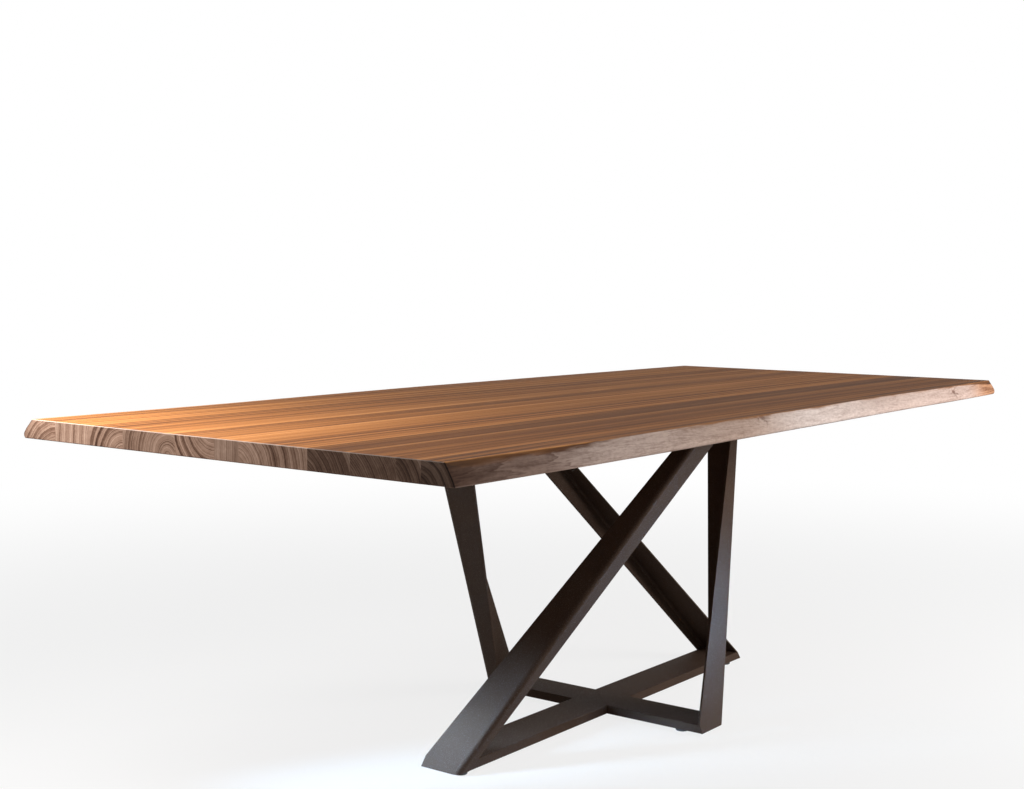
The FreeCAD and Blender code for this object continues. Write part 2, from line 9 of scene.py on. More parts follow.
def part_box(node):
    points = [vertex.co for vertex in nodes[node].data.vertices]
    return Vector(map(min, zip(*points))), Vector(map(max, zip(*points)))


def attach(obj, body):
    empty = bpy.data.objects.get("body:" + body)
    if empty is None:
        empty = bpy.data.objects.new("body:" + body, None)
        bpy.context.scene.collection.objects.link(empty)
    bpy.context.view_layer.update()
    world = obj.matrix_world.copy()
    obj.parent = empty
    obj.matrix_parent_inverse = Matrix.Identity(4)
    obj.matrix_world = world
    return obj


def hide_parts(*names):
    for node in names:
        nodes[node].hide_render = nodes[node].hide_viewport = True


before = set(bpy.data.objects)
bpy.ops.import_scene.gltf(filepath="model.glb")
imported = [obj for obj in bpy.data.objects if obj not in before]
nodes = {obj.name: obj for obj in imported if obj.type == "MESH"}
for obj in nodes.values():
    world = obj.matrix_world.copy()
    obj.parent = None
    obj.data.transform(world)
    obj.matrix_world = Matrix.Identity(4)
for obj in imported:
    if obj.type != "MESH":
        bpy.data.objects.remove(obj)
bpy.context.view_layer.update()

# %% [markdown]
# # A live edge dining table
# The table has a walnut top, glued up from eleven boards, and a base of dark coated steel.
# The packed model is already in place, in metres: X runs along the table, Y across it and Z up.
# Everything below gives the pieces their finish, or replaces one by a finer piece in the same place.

# %% [markdown]
# ## Camera
# The picture looks along the table from its left front corner, a little above the top.
# The place and the turn were worked out from the table's own edges, with the lens as an unknown,
# so they are written as a matrix: its columns are the camera's right, up and backward directions.

# %% Camera
camera_data = bpy.data.cameras.new("camera")
camera_data.lens = 52.365
camera_spot = (-2.94389, -1.92324, 1.02803)
camera = bpy.data.objects.new("camera", camera_data)
right = Vector((0.59877, -0.80088, 0.00827))
up = Vector((0.05783, 0.05353, 0.99689))
turn = Matrix((right, up, right.cross(up))).transposed()
camera.matrix_world = Matrix.Translation(camera_spot) @ turn.to_4x4()
bpy.context.scene.collection.objects.link(camera)
bpy.context.scene.camera = camera
print("camera at", tuple(round(c, 3) for c in camera.location), "lens", camera_data.lens)

# %% [markdown]
# ## Sums on shader sockets
# A finish is a tree of nodes. Written out link by link, it hides what is worked out.
# So one small class holds a socket and takes part in sums: each sum adds a Math node.
# Its method `node` makes any other node, first its settings and then its sockets.

# %% Sockets that can be added and multiplied
def set_stops(ramp, stops):
    """Give a colour ramp its stops, each a place from 0 to 1 and a colour."""
    ramp.interpolation = "EASE"
    while len(ramp.elements) > 1:
        ramp.elements.remove(ramp.elements[-1])
    ramp.elements[0].position, ramp.elements[0].color = stops[0]
    for spot, tint in stops[1:]:
        ramp.elements.new(spot).color = tint


class Wire:
    """An output socket of a node tree, or the bare tree where a finish starts."""

    def __init__(self, tree, socket=None):
        self.tree = tree
        self.socket = socket

    def node(self, kind, settings=None, inputs=None, out=0):
        made = self.tree.nodes.new(kind)
        for name, value in (settings or {}).items():
            if name == "stops":
                set_stops(made.color_ramp, value)
            else:
                setattr(made, name, value)
        for name, value in (inputs or {}).items():
            if isinstance(value, Wire):
                self.tree.links.new(value.socket, made.inputs[name])
            else:
                made.inputs[name].default_value = value
        return Wire(self.tree, made.outputs[out])

    def math(self, operation, *values):
        return self.node("ShaderNodeMath", {"operation": operation}, dict(enumerate(values)))

    def __add__(self, other):
        return self.math("ADD", self, other)

    def __sub__(self, other):
        return self.math("SUBTRACT", self, other)

    def __rsub__(self, other):
        return self.math("SUBTRACT", other, self)

    def __mul__(self, other):
        return self.math("MULTIPLY", self, other)

    def __truediv__(self, other):
        return self.math("DIVIDE", self, other)

    def __pow__(self, other):
        return self.math("POWER", self, other)

    def __abs__(self):
        return self.math("ABSOLUTE", self)

    __radd__ = __add__
    __rmul__ = __mul__


print("operators ready:", [name for name in vars(Wire) if name.startswith("__") and name.endswith("__")])

# %% [markdown]
# ## From sums to a finish
# A finish is a Principled shader with wires that feed it.
# What changes over the surface comes in by a wire. What is the same all over is set on the socket.

# %% A new finish, and painting with it
def colour(red, green, blue):
    return (red, green, blue, 1)


def new_finish(name):
    material = bpy.data.materials.new(name)
    material.use_nodes = True
    return material, material.node_tree.nodes["Principled BSDF"], Wire(material.node_tree)


def feed(shader, **sockets):
    """Link wires to the shader's sockets, and set plain values on them."""
    for name, value in sockets.items():
        socket = shader.inputs[name.replace("_", " ")]
        if isinstance(value, Wire):
            value.tree.links.new(value.socket, socket)
        else:
            socket.default_value = value


def paint(piece, material):
    """Give a piece one finish, in place of the slots it came with."""
    piece.data.materials.clear()
    piece.data.materials.append(material)


print("helpers for a finish:", [helper.__name__ for helper in (new_finish, feed, paint)])

# %% [markdown]
# A few helpers keep a finish short: a soft step from 0 to 1, a mix of two colours, a ramp, and noise.
# Noise is asked for by how often it repeats per metre along X, Y and Z:
# wood is drawn out along X, so its noise repeats seldom there and often across.

# %% Helpers that every finish uses
def step(wire, low, high):
    """0 below low, 1 above high, and a soft rise between them."""
    limits = {"Value": wire, "From Min": low, "From Max": high}
    return wire.node("ShaderNodeMapRange", {"interpolation_type": "SMOOTHSTEP"}, limits)


def mix(share, first, second):
    """Two colours, with a wire as the share of the second."""
    return share.node("ShaderNodeMix", {"data_type": "RGBA"}, {0: share, 6: first, 7: second}, out=2)


def ramp(wire, stops):
    return wire.node("ShaderNodeValToRGB", {"stops": stops}, {0: wire})


def place(tree):
    """Where a point is in the table's frame."""
    return tree.node("ShaderNodeTexCoord", out="Object")


def parts(vector):
    return [vector.node("ShaderNodeSeparateXYZ", {}, {0: vector}, out=axis) for axis in range(3)]


def cloud(vector, per_metre, detail=2.0, rough=0.5, out=0):
    """Noise that repeats so many times per metre along each axis."""
    stretched = vector.node("ShaderNodeVectorMath", {"operation": "MULTIPLY"}, {0: vector, 1: per_metre})
    inputs = {"Vector": stretched, "Scale": 1.0, "Detail": detail, "Roughness": rough}
    return vector.node("ShaderNodeTexNoise", {}, inputs, out)


def bump(height, strength, distance):
    return height.node("ShaderNodeBump", {}, {"Height": height, "Strength": strength, "Distance": distance})


helpers = (step, mix, ramp, place, parts, cloud, bump)
print("helpers for wires:", [helper.__name__ for helper in helpers])

# %% [markdown]
# ## Floor and background
# The floor is plain and pale, and the picture's background is white.
# Seen by the camera or in a reflection, the floor glows on top of the light it gets,
# so it stays white and still keeps the table's soft shadow. Far off, it is white only.

# %% Floor
def make_floor(half):
    mesh = bpy.data.meshes.new("floor")
    corners = [(-half, -half, 0), (half, -half, 0), (half, half, 0), (-half, half, 0)]
    mesh.from_pydata(corners, [], [(0, 1, 2, 3)])
    floor = bpy.data.objects.new("floor", mesh)
    bpy.context.scene.collection.objects.link(floor)
    return floor


def seen_directly(tree):
    """1 for rays from the camera and for reflections, 0 for the light that surfaces exchange."""
    kinds = ("Is Camera Ray", "Is Glossy Ray", "Is Transmission Ray")
    camera_ray, glossy_ray, through_ray = [tree.node("ShaderNodeLightPath", out=kind) for kind in kinds]
    return camera_ray.math("MAXIMUM", camera_ray, glossy_ray.math("MAXIMUM", glossy_ray, through_ray))


floor_half = 30.0
shadow_near, shadow_far = 1.0, 4.5
floor = make_floor(floor_half)
floor_paint, floor_shader, tree = new_finish("floor paint")
feed(floor_shader, Base_Color=colour(0.7, 0.7, 0.7), Roughness=0.9, Specular_IOR_Level=0.1)
glow = tree.node("ShaderNodeEmission", {}, {"Color": colour(1, 1, 1), "Strength": 1.0})
spot = place(tree)
distance = spot.node("ShaderNodeVectorMath", {"operation": "LENGTH"}, {0: spot}, out="Value")
share = seen_directly(tree) * (step(distance, shadow_near, shadow_far) * 0.2 + 0.8)
matt = Wire(tree.tree, floor_shader.outputs[0])
surface = tree.node("ShaderNodeMixShader", {}, {0: share, 1: matt, 2: glow})
tree.tree.links.new(surface.socket, tree.tree.nodes["Material Output"].inputs["Surface"])
paint(floor, floor_paint)
print("floor made, its shadow shows within", shadow_far, "m")

# %% [markdown]
# The world lights the room evenly. What the camera and reflections see of it is plain white.

# %% World
world = bpy.data.worlds.new("studio")
bpy.context.scene.world = world
world.use_nodes = True
room_light = 0.25
strength = seen_directly(Wire(world.node_tree)) * (1 - room_light) + room_light
background = world.node_tree.nodes["Background"]
background.inputs["Color"].default_value = colour(1, 1, 1)
world.node_tree.links.new(strength.socket, background.inputs["Strength"])
bpy.context.scene.view_settings.view_transform = "Standard"
print("room light", room_light)

# %% [markdown]
# ## Light
# A soft lamp hangs close over the left end: the boards there glow, and the light dies away from them.
# A large soft lamp at the right front brightens the far half of the natural edge.
# The dark steel has a cool sheen on two faces. A small lamp with a narrow spread stands low
# beside the left foot, and a panel stands where the front leg mirrors it.
# The panel shows in reflections only, so it lights no floor.

# %% Three soft lamps and a panel
def soft_lamp(name, spot, aim, size, watts, tint):
    data = bpy.data.lights.new(name, "AREA")
    data.size = size
    data.energy = watts
    data.color = tint
    lamp = bpy.data.objects.new(name, data)
    lamp.location = spot
    lamp.rotation_euler = (Vector(aim) - Vector(spot)).to_track_quat("-Z", "Y").to_euler()
    lamp.visible_camera = False
    bpy.context.scene.collection.objects.link(lamp)
    print(name, "at", spot, "with", watts, "W")
    return lamp


warm_white = (1.0, 0.97, 0.94)
cool_white = (0.42, 0.68, 1.0)
narrow_spread = math.radians(20)
soft_lamp("end_lamp", (-1.43, 0.40, 1.26), (-1.24, 0.25, 0.75), 0.6, 17, warm_white)
soft_lamp("front_lamp", (1.35, -2.25, 1.05), (0.3, -0.5, 0.7), 1.1, 61, warm_white)
foot_lamp = soft_lamp("foot_lamp", (-1.36, 0.55, 0.27), (-0.59, 0.0, 0.04), 0.2, 1.48, cool_white)
foot_lamp.data.spread = narrow_spread
panel = soft_lamp("panel", (1.37, -1.10, 0.51), (0.0, -0.31, 0.34), 0.3, 1.9, cool_white)
panel.data.spread = narrow_spread
panel.visible_diffuse = False

# %% [markdown]
# ## Coated steel
# The base is folded and welded plate with a fine textured powder coat, between brown and black.
# The coat melts into tiny pimples, so the finish is matt with a speckle.
# One fine noise gives the pimples their height and the speckle its colour.

# %% The powder coat
coat_dark = colour(0.044, 0.0250, 0.0162)
coat_light = colour(0.055, 0.033, 0.0220)
coat_speckle = colour(0.115, 0.096, 0.090)
pimples_per_metre = 620
patches_per_metre = 7


def powder_coat():
    material, shader, tree = new_finish("powder coat")
    spot = place(tree)
    pimples = cloud(spot, (pimples_per_metre,) * 3, 2.0, 0.6)
    patches = cloud(spot, (patches_per_metre,) * 3, 3.0, 0.55)
    speckle = step(pimples, 0.55, 0.72)
    base = mix(step(patches, 0.3, 0.7), coat_dark, coat_light)
    feed(
        shader,
        Base_Color=mix(speckle * 0.8, base, coat_speckle),
        Roughness=0.62 + patches * 0.1 - speckle * 0.2,
        Normal=bump(pimples, 0.4, 0.0004),
        Specular_IOR_Level=0.07,
    )
    return material


steel_finish = powder_coat()
steel_bars = ("leg_", "floor_arm_", "head_bar_")
steel_plates = ("floor_joint_plate", "head_joint_plate", "stiffener_left", "stiffener_right")
steel = [name for name in nodes if name.startswith(steel_bars + steel_plates)]
for name in steel:
    paint(nodes[name], steel_finish)
print("coated pieces:", len(steel))

# %% [markdown]
# ## Soft arrises
# Cut plate has its edges eased before coating, and those edges catch the light as thin lines.
# Modifiers do it without touching the model's mesh: weld the split corners,
# merge the flat triangles, and round what is left of the sharp edges.

# %% Rounding the steel
weld_distance = 0.00001
leg_arris, bar_arris = 0.0009, 0.0006


def ease_edges(piece, width):
    piece.modifiers.new("weld", "WELD").merge_threshold = weld_distance
    flat = piece.modifiers.new("flat", "DECIMATE")
    flat.decimate_type = "DISSOLVE"
    flat.angle_limit = math.radians(0.5)
    arris = piece.modifiers.new("arris", "BEVEL")
    arris.width = width
    arris.segments = 2
    arris.limit_method = "ANGLE"
    arris.angle_limit = math.radians(40)
    arris.harden_normals = True


for name in steel:
    ease_edges(nodes[name], leg_arris if name.startswith("leg_") else bar_arris)
print("edges eased on", len(steel), "pieces")

# %% [markdown]
# ## Walnut, as a log
# A board is cut from a log, so its rings are circles round a pith that lies in or near the board.
# The distance from that pith gives every face its own figure at once: arcs on the sawn end,
# long stripes on the top. The pith wanders a little along the board, as trees do.

# %% Distance from the pith
pith_spread = 40
pith_sway = 0.03
ring_waver = 0.005


def from_pith(spot, pith):
    along, across, height = parts(spot)
    apart, aside = [distance * pith_spread for distance in pith]
    line = along.node("ShaderNodeCombineXYZ", {}, {0: along, 1: apart, 2: aside})
    sway, lift, _ = parts(cloud(line, (0.8, 1, 1), 1.0, 0.4, "Color"))
    waver = cloud(spot, (2.6, 40, 40), 3.0, 0.55) - 0.5
    sideways = across - pith[0] + (sway - 0.5) * pith_sway
    upwards = height - pith[1] + (lift - 0.5) * pith_sway
    return (sideways * sideways + upwards * upwards) ** 0.5 + waver * ring_waver


def reach(name, pith):
    """Least and greatest distance from the pith in a board's section."""
    low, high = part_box(name)
    near = Vector((min(max(pith[0], low.y), high.y), min(max(pith[1], low.z), high.z)))
    far = [Vector((y, z)) for y in (low.y, high.y) for z in (low.z, high.z)]
    return (near - Vector(pith)).length, max((corner - Vector(pith)).length for corner in far)


sample_pith = (-0.05, 0.70)
print("board five lies", [round(d, 3) for d in reach("board_five", sample_pith)], "m from such a pith")

# %% [markdown]
# Broad bands of colour follow the rings: a list of shades from the pith outwards, 0 pale and 1 dark.
# Each ring ends in a thin dark line of late wood, and starts pale again.
# The rings differ in width and strength, so their count is bent by noise and each has its own weight.

# %% Bands and rings
def grey(shade):
    return colour(shade, shade, shade)


def bands(distance, limits, shades):
    near, far = limits
    stops = [(i / (len(shades) - 1), grey(shade)) for i, shade in enumerate(shades)]
    return ramp((distance - near) / (far - near), stops)


def ring_lines(distance, width):
    """How much darker the late wood makes a point, and paler the early wood, about -0.4 to 1."""
    count = distance / width
    line = count.node("ShaderNodeCombineXYZ", {}, {0: count})
    count = count + (cloud(line, (0.4, 1, 1), 1.0) - 0.5) * 2.4
    ring = count.math("FLOOR", count)
    weight = ring.node("ShaderNodeTexWhiteNoise", {"noise_dimensions": "1D"}, {"W": ring})
    part = count - ring
    late = part ** 3.0 * (1 - step(part, 0.93, 1.0))
    early = 1 - step(part, 0.0, 0.22)
    return (late - early * 0.4) * (weight * 0.8 + 0.2)


def is_end(tree):
    """1 on the sawn ends, 0 on the faces along the grain."""
    facing = parts(tree.node("ShaderNodeNewGeometry", out="Normal"))[0]
    return step(abs(facing), 0.55, 0.85)


def is_arris(tree):
    """1 on the rounded arris between the top and a sawn end."""
    along, _, upwards = parts(tree.node("ShaderNodeNewGeometry", out="Normal"))
    return step(abs(along) * upwards, 0.2, 0.42)


print("bands and rings ready")

# %% [markdown]
# The oil makes the faces warm. The sawn ends drink it, and are greyer and rougher.
# So there are two rows of tones, each from pale to dark, and one pale tone on the arris between the top and
# a sawn end: a painted highlight, where that arris would catch the light.

# %% Tones of oiled walnut
face_tones = [
    (0.0, (0.52, 0.235, 0.085)),
    (0.35, (0.33, 0.130, 0.037)),
    (0.7, (0.16, 0.058, 0.018)),
    (1.0, (0.062, 0.024, 0.010)),
]
end_tones = [
    (0.0, (0.47, 0.325, 0.25)),
    (0.38, (0.30, 0.190, 0.138)),
    (0.7, (0.15, 0.083, 0.056)),
    (1.0, (0.055, 0.027, 0.018)),
]
# A painted highlight: the pale tone laid on the arris at the sawn ends, scaled by each board's end tone.
end_arris_highlight = (0.50, 0.415, 0.37)


def toned(tones, strength):
    return [(spot, colour(*[channel * strength for channel in tint])) for spot, tint in tones]


print("tones on the face:", len(face_tones), "and on the end:", len(end_tones))

# %% [markdown]
# Along the grain run the fibres: long soft streaks, finer threads, and pores that are open tubes.
# On a face along the grain the pores are short dark dashes, on the end they are dots.

# %% Oiled walnut for one board
def walnut_wood(tree, spot, name, board):
    """Colour, roughness and height of one board's wood."""
    distance = from_pith(spot, board["pith"])
    end = is_end(tree)
    figure = bands(distance, reach(name, board["pith"]), board["shades"]) * 0.9
    lines = ring_lines(distance, board["ring"]) * (0.42 + end * 0.18)
    fine_lines = ring_lines(distance, board["ring"] * 0.36) * (0.1 + end * 0.25)
    stripes = cloud(spot, (0.45, 34, 34), 2.0, 0.5) - 0.5
    streaks = cloud(spot, (1.1, 130, 130), 4.0, 0.62)
    threads = cloud(spot, (7, 600, 600), 3.0, 0.6)
    pores = step(cloud(spot, (45, 1500, 1500), 1.0, 0.5), 0.62, 0.72)
    grain = stripes * 0.9 + (streaks - 0.5) * 0.9 + (threads - 0.5) * 0.4
    shade = figure + lines + fine_lines + grain * (1 - end * 0.65) + pores * 0.15
    on_face = ramp(shade, toned(face_tones, board["tone"]))
    on_end = ramp(shade, toned(end_tones, board["end_tone"]))
    # Painted highlight on the arris, mixed in at up to 70 percent.
    arris_highlight_colour = colour(*[channel * board["end_tone"] for channel in end_arris_highlight])
    wood = mix(is_arris(tree) * 0.7, mix(end, on_face, on_end), arris_highlight_colour)
    rough = 0.62 + streaks * 0.1 + pores * 0.15 + end * 0.1
    return wood, rough, threads * 0.4 - pores


def walnut(name, board):
    material, shader, tree = new_finish(name.replace("_", " "))
    wood, rough, height = walnut_wood(tree, place(tree), name, board)
    feed(
        shader,
        Base_Color=wood,
        Roughness=rough,
        Normal=bump(height, 0.2, 0.0003),
        Specular_IOR_Level=0.06,
    )
    return material


print("a board is made of", [helper.__name__ for helper in (bands, ring_lines, cloud)])

# %% [markdown]
# The boards, from the front edge to the back. A pith is a place across and up, in metres.
# The front boards were cut from darker heartwood, which shows most on their sawn ends.

# %% The eleven boards
boards = {
    "front_live_edge_board": {
        "pith": (-0.452, 0.686), "ring": 0.0060, "tone": 0.72, "end_tone": 0.36,
        "shades": (0.6, 0.8, 0.45, 0.7, 0.3, 0.75, 0.4, 0.8, 0.35, 0.75, 0.8, 0.6),
    },
    "board_two": {
        "pith": (-0.379, 0.691), "ring": 0.0066, "tone": 0.85, "end_tone": 0.46,
        "shades": (0.35, 0.3, 0.55, 0.6, 0.7, 0.65, 0.5, 0.7, 0.3, 0.2),
    },
    "board_three": {
        "pith": (-0.226, 0.641), "ring": 0.0042, "tone": 0.8, "end_tone": 0.52,
        "shades": (0.55, 0.5, 0.6, 0.5, 0.6, 0.55, 0.6, 0.5, 0.6, 0.5, 0.45),
    },
    "board_four": {
        "pith": (-0.180, 0.671), "ring": 0.0050, "tone": 0.66, "end_tone": 0.5,
        "shades": (0.55, 0.65, 0.5, 0.7, 0.55, 0.7, 0.6, 0.75, 0.7, 0.65, 0.15, 0.1),
    },
    "board_five": {
        "pith": (-0.047, 0.701), "ring": 0.0064, "tone": 1.0, "end_tone": 0.8,
        "shades": (0.35, 0.45, 0.25, 0.4, 0.2, 0.45, 0.3, 0.5, 0.7, 0.3, 0.75, 0.35, 0.6, 0.3, 0.35, 0.25),
    },
    "board_six": {
        "pith": (-0.332, 0.735), "ring": 0.0048, "tone": 1.05, "end_tone": 0.68,
        "shades": (0.3, 0.4, 0.25, 0.35, 0.2, 0.3, 0.2, 0.25),
    },
    "board_seven": {
        "pith": (0.004, 0.776), "ring": 0.0068, "tone": 0.98, "end_tone": 0.84,
        "shades": (0.5, 0.35, 0.45, 0.4, 0.35, 0.75, 0.25, 0.85, 0.25, 0.8, 0.3, 0.35),
    },
    "board_eight": {
        "pith": (0.118, 0.707), "ring": 0.0072, "tone": 1.0, "end_tone": 0.74,
        "shades": (0.35, 0.3, 0.45, 0.3, 0.4, 0.35, 0.5, 0.4, 0.5, 0.6, 0.3, 0.25),
    },
    "board_nine": {
        "pith": (0.242, 0.696), "ring": 0.0080, "tone": 1.0, "end_tone": 0.9,
        "shades": (0.35, 0.3, 0.45, 0.3, 0.5, 0.4, 0.8, 0.25, 0.85, 0.2, 0.75, 0.2, 0.15),
    },
    "board_ten": {
        "pith": (0.126, 0.711), "ring": 0.0060, "tone": 1.05, "end_tone": 1.0,
        "shades": (0.15, 0.4, 0.15, 0.5, 0.15, 0.45, 0.2, 0.5, 0.15, 0.45, 0.2),
    },
    "back_live_edge_board": {
        "pith": (0.429, 0.651), "ring": 0.0074, "tone": 1.0, "end_tone": 1.2,
        "shades": (0.3, 0.45, 0.6, 0.35, 0.65, 0.3, 0.55, 0.3, 0.5, 0.3, 0.45, 0.35),
    },
}
for name, board in boards.items():
    paint(nodes[name], walnut(name, board))
print("boards:", len(boards))

# %% [markdown]
# ## The natural edges
# The front and back boards end where the trunk ended. Under its bark a trunk has flutes and ridges
# that run with the grain, and a dent where a twig grew. The model carries the line and the slope
# of that edge, but its faces are smooth. So rays read the model's face on a close grid,
# and a finer board is built on what they find. It is only pressed inwards, and stays in the model.

# %% Reading the model's edge
def edge_reader(name, side):
    """A function that gives how far across the edge lies, at a place along the table and a height."""
    mesh = nodes[name].data
    faces = [tuple(face.vertices) for face in mesh.polygons]
    surface = BVHTree.FromPolygons([vertex.co for vertex in mesh.vertices], faces)

    def read(along, height):
        hit = surface.ray_cast(Vector((along, side, height)), Vector((0, -side, 0)))[0]
        return hit.y

    return read


read_front = edge_reader("front_live_edge_board", -1)
for height in (0.72, 0.748):
    print("front edge at the middle of the table,", height, "m up:", round(read_front(0, height), 4))

# %% [markdown]
# Three sizes of noise make the relief, each drawn out along the grain.
# A knot is a dent with a low collar: the wood swells round the twig that it closes over.

# %% How deep the relief goes
edge_height = 0.045
twig_length, twig_height = 0.015, 0.008


def relief(along, rise, seed, knots):
    """How far the wood lies behind the model's face, from 0 at the underside's edge to 1 at the top's."""
    flutes = noise.noise(Vector((along * 4, rise * 1.5, seed)))
    ridges = noise.noise(Vector((along * 11, rise * 6, seed + 5)))
    scallops = noise.noise(Vector((along * 24, rise, seed + 9))) * rise
    depth = 0.0010 + 0.0009 * flutes + 0.0005 * ridges + 0.0008 * scallops
    for knot_along, knot_rise in knots:
        upwards = (rise - knot_rise) * edge_height
        away = math.hypot((along - knot_along) / twig_length, upwards / twig_height)
        depth += 0.0026 * math.exp(-away * away) - 0.0010 * math.exp(-2 * (away - 1.9) ** 2)
    return max(depth, 0)


print("relief at three places:", [round(relief(x, 0.5, 1, ()) * 1000, 2) for x in (-1, 0, 1)], "mm")

# %% [markdown]
# A section of the board runs from the seam along the underside, up the edge and back along the top.
# Each point also keeps its rise: 0 to 1 on the edge, more on the top and less on the underside.
# The finish uses that later, because the pale sapwood lies only under the bark.
# Two corners are rounded by a short curve, as sanding does.
# The edge has a belly, but near the left end of the front board it was planed almost straight.

# %% One section of the board
levels = 22
ray_margin = 0.0002
rise_per_metre = 20
planed_from, planed_to = -1.22, -0.7
under_arris, top_arris = 0.0008, 0.0013
flat_strip = 0.006


def planed(along, share):
    """Share of the belly that is gone: the whole given share at the left end, and none further on."""
    t = min(max((planed_to - along) / (planed_to - planed_from), 0), 1)
    return share * t * t * (3 - 2 * t)


def rounded(first, corner, last):
    """Four points on a curve from first to last, drawn towards the corner."""
    curve = []
    for t in (0, 1 / 3, 2 / 3, 1):
        curve.append(first * (1 - t) ** 2 + corner * (2 * t * (1 - t)) + last * t ** 2)
    return curve


def section(read, along, side, seam, floor, top, seed, knots, flat):
    """Points of (across, height, rise) round the board at one place along it."""
    edge = []
    for level in range(levels + 1):
        rise = level / levels
        height = floor + (top - floor) * rise
        across = read(along, min(max(height, floor + ray_margin), top - ray_margin))
        edge.append(Vector((across - side * relief(along, rise, seed, knots), height, rise)))
    inwards = Vector((-side, 0, 0))
    over = Vector((0, 0, rise_per_metre))
    low, high = edge[0], edge[-1]
    for point in edge:
        belly = side * (point.x - low.x - (high.x - low.x) * point.z)
        point.x -= side * max(belly, 0) * flat
    under_round = rounded(low + (inwards - over) * under_arris, low, low.lerp(edge[1], 0.45))
    top_round = rounded(high.lerp(edge[-2], 0.6), high, high + (inwards + over) * top_arris)
    seam_low = Vector((seam, floor, -abs(seam - low.x) * rise_per_metre))
    seam_high = Vector((seam, top, 1 + abs(seam - high.x) * rise_per_metre))
    under = [seam_low, low + (inwards - over) * flat_strip]
    upper = [high + (inwards + over) * flat_strip, seam_high]
    return under + under_round + edge[1:-1] + top_round + upper


floor_side, top_side = [corner.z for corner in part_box("front_live_edge_board")]
seam_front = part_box("board_two")[0].y
front_seed = 1
sample = section(read_front, 0, -1, seam_front, floor_side, top_side, front_seed, (), 0)
print("points in a section:", len(sample))

# %% [markdown]
# The sections stand 4 mm apart. At both ends a few more sections draw in, and round the sawn arris.

# %% Where the sections stand
section_pitch = 0.004
arris = 0.002


def stations(half):
    """Places along the board, each with how far its section is drawn in at the rounded ends."""
    turns = [math.radians(angle) for angle in (0, 22.5, 45, 67.5, 90)]
    ends = [(half - arris * (1 - math.cos(turn)), arris * (1 - math.sin(turn))) for turn in turns]
    straight = half - arris * (1 - math.cos(turns[-1]))
    count = round(2 * straight / section_pitch)
    inner = [(-straight + 2 * straight * i / count, 0) for i in range(1, count)]
    return [(-spot, inset) for spot, inset in ends] + inner + ends[::-1]


def drawn_in(points, side, floor, top, inset):
    moved = []
    for across, height, rise in points:
        on_edge = -0.5 < rise < 1.5 and inset > 0
        shift = -side * inset if on_edge else 0
        moved.append(Vector((across + shift, min(max(height, floor + inset), top - inset), rise)))
    return moved


print("sections along the front board:", len(stations(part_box("front_live_edge_board")[1].x)))

# %% [markdown]
# Quads join each section to the next, and one face closes each end.
# Where two faces meet at more than a set angle, the edge between them stays sharp.

# %% A skin over sections
sharp_angle = math.radians(35)


def skin(made, rings):
    """Join rings of points by faces, and close the first and the last ring."""
    for ring, following in zip(rings, rings[1:]):
        for i in range(len(ring)):
            made.faces.new((ring[i - 1], ring[i], following[i], following[i - 1])).smooth = True
    made.faces.new(rings[0])
    made.faces.new(rings[-1])


def new_piece(made, mesh_name, piece_name):
    """Turn a mesh in the making into a piece of the scene."""
    bmesh.ops.recalc_face_normals(made, faces=made.faces)
    mesh = bpy.data.meshes.new(mesh_name)
    made.to_mesh(mesh)
    made.free()
    mesh.set_sharp_from_angle(angle=sharp_angle)
    piece = bpy.data.objects.new(piece_name, mesh)
    bpy.context.scene.collection.objects.link(piece)
    return piece


print("edges stay sharp above", round(math.degrees(sharp_angle)), "degrees")

# %% [markdown]
# Now both boards can be built. The front board has two knots, the back board one.
# Each new board takes the place of the model's own.

# %% The two boards with their edges
def live_edge(name, side, seam, seed, knots, planed_share):
    read = edge_reader(name, side)
    low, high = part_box(name)
    made = bmesh.new()
    rise_layer = made.verts.layers.float.new("rise")
    rings = []
    clear = 1.2 * arris
    for along, inset in stations(high.x):
        read_at = min(max(along, low.x + clear), high.x - clear)
        flat = planed(read_at, planed_share)
        points = section(read, read_at, side, seam, low.z, high.z, seed, knots, flat)
        ring = []
        for across, height, rise in drawn_in(points, side, low.z, high.z, inset):
            vertex = made.verts.new((along, across, height))
            vertex[rise_layer] = rise
            ring.append(vertex)
        rings.append(ring)
    skin(made, rings)
    piece = new_piece(made, name, name.replace("_board", ""))
    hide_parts(name)
    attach(piece, "root")
    print(piece.name, "has", len(piece.data.vertices), "points")
    return piece


front_knots = ((-0.20, 0.92), (0.90, 0.62))
back_knots = ((0.46, 0.55),)
back_seed = 31
front_planed, back_planed = 0.85, 0
seam_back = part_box("board_ten")[1].y
front_edge = live_edge("front_live_edge_board", -1, seam_front, front_seed, front_knots, front_planed)
back_edge = live_edge("back_live_edge_board", 1, seam_back, back_seed, back_knots, back_planed)

# %% [markdown]
# Sapwood, the young wood under the bark, is pale and a little pink. The heartwood behind it is brown.
# A knot is a twig that the trunk closed over: its middle is dark, and cracks run out from it like a star.
# The star comes from the angle round the knot: the sine of some multiple of it is near 0 on a few rays.

# %% Knots and their cracks
knot_length, knot_height = 0.016, 0.010


def knot_marks(along, rise, knots, sway):
    """How dark the knots are and how dark their cracks are, both 0 away from them."""
    middle, cracks = 0, 0
    for knot_along, knot_rise in knots:
        sideways = (along - knot_along) / knot_length
        upwards = (rise - knot_rise) * (edge_height / knot_height)
        away = (sideways * sideways + upwards * upwards) ** 0.5 + sway
        angle = upwards.math("ARCTAN2", upwards, sideways)
        rays = abs(angle.math("SINE", angle * 2.5 + sway * 5 + 0.8))
        middle = 1 - step(away, 0.15, 1.0) + middle
        cracks = (1 - step(rays, 0.04, 0.3)) * (1 - step(away, 0.8, 2.6)) + cracks
    return middle, cracks


print("knots on the front edge:", len(front_knots), "and on the back edge:", len(back_knots))
